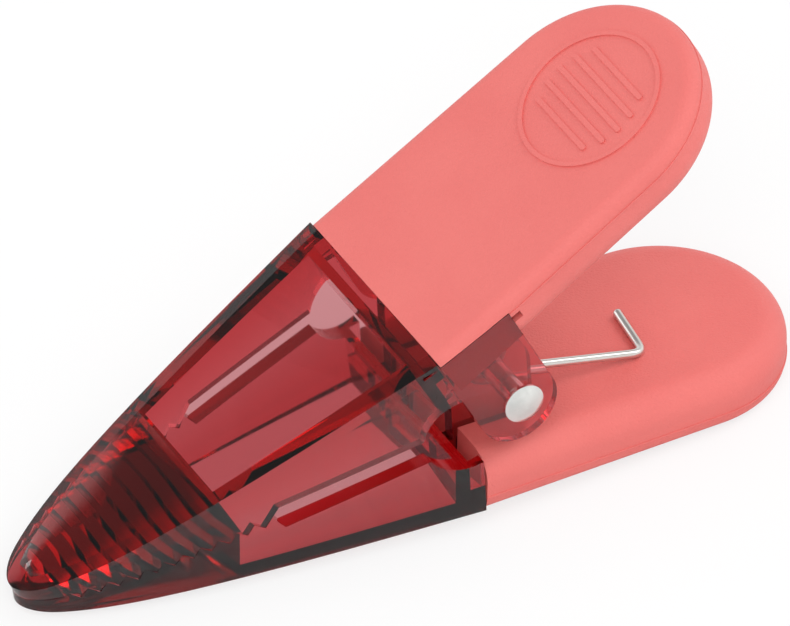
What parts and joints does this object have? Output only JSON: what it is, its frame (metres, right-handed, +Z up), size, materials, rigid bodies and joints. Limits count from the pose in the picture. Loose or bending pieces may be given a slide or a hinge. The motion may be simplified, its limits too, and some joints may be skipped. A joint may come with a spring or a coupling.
{
  "type": "bag clip",
  "caption": "Large spring clip for closing bags: clear toothed jaws that taper to a rounded nose, riveted at the side, with soft rounded handles splayed by a torsion spring.",
  "frame": {"origin": "middle of the closed clip's outline on the table it lies on", "axes": "+X from the jaws' tips to the handles, +Y along the pivot pin away from the rivet's head, +Z up"},
  "size_m": [0.1208, 0.0388, 0.0589],
  "materials": {
    "clear_jaw": "clear tinted, moulded gloss",
    "soft_handle": "matte soft-touch",
    "rivet_steel": "plated, satin",
    "spring_wire": "bright drawn wire"
  },
  "bodies": {
    "lower_arm": {"lower_jaw": "clear_jaw", "lower_handle": "soft_handle", "pivot_rivet": "rivet_steel", "rivet_cap": "rivet_steel", "torsion_spring": "spring_wire"},
    "upper_arm": {"upper_jaw": "clear_jaw", "upper_handle": "soft_handle"}
  },
  "joints": [
    {"name": "jaw_hinge", "type": "hinge", "parent": "lower_arm", "child": "upper_arm", "pos_m": [0.0107, 0, 0.01967], "axis": [0, 1, 0], "range_deg": [0, 45], "stiffness_Nm_per_rad": 0.5, "springref_deg": -57.3, "deforming": ["torsion_spring"]}
  ]
}
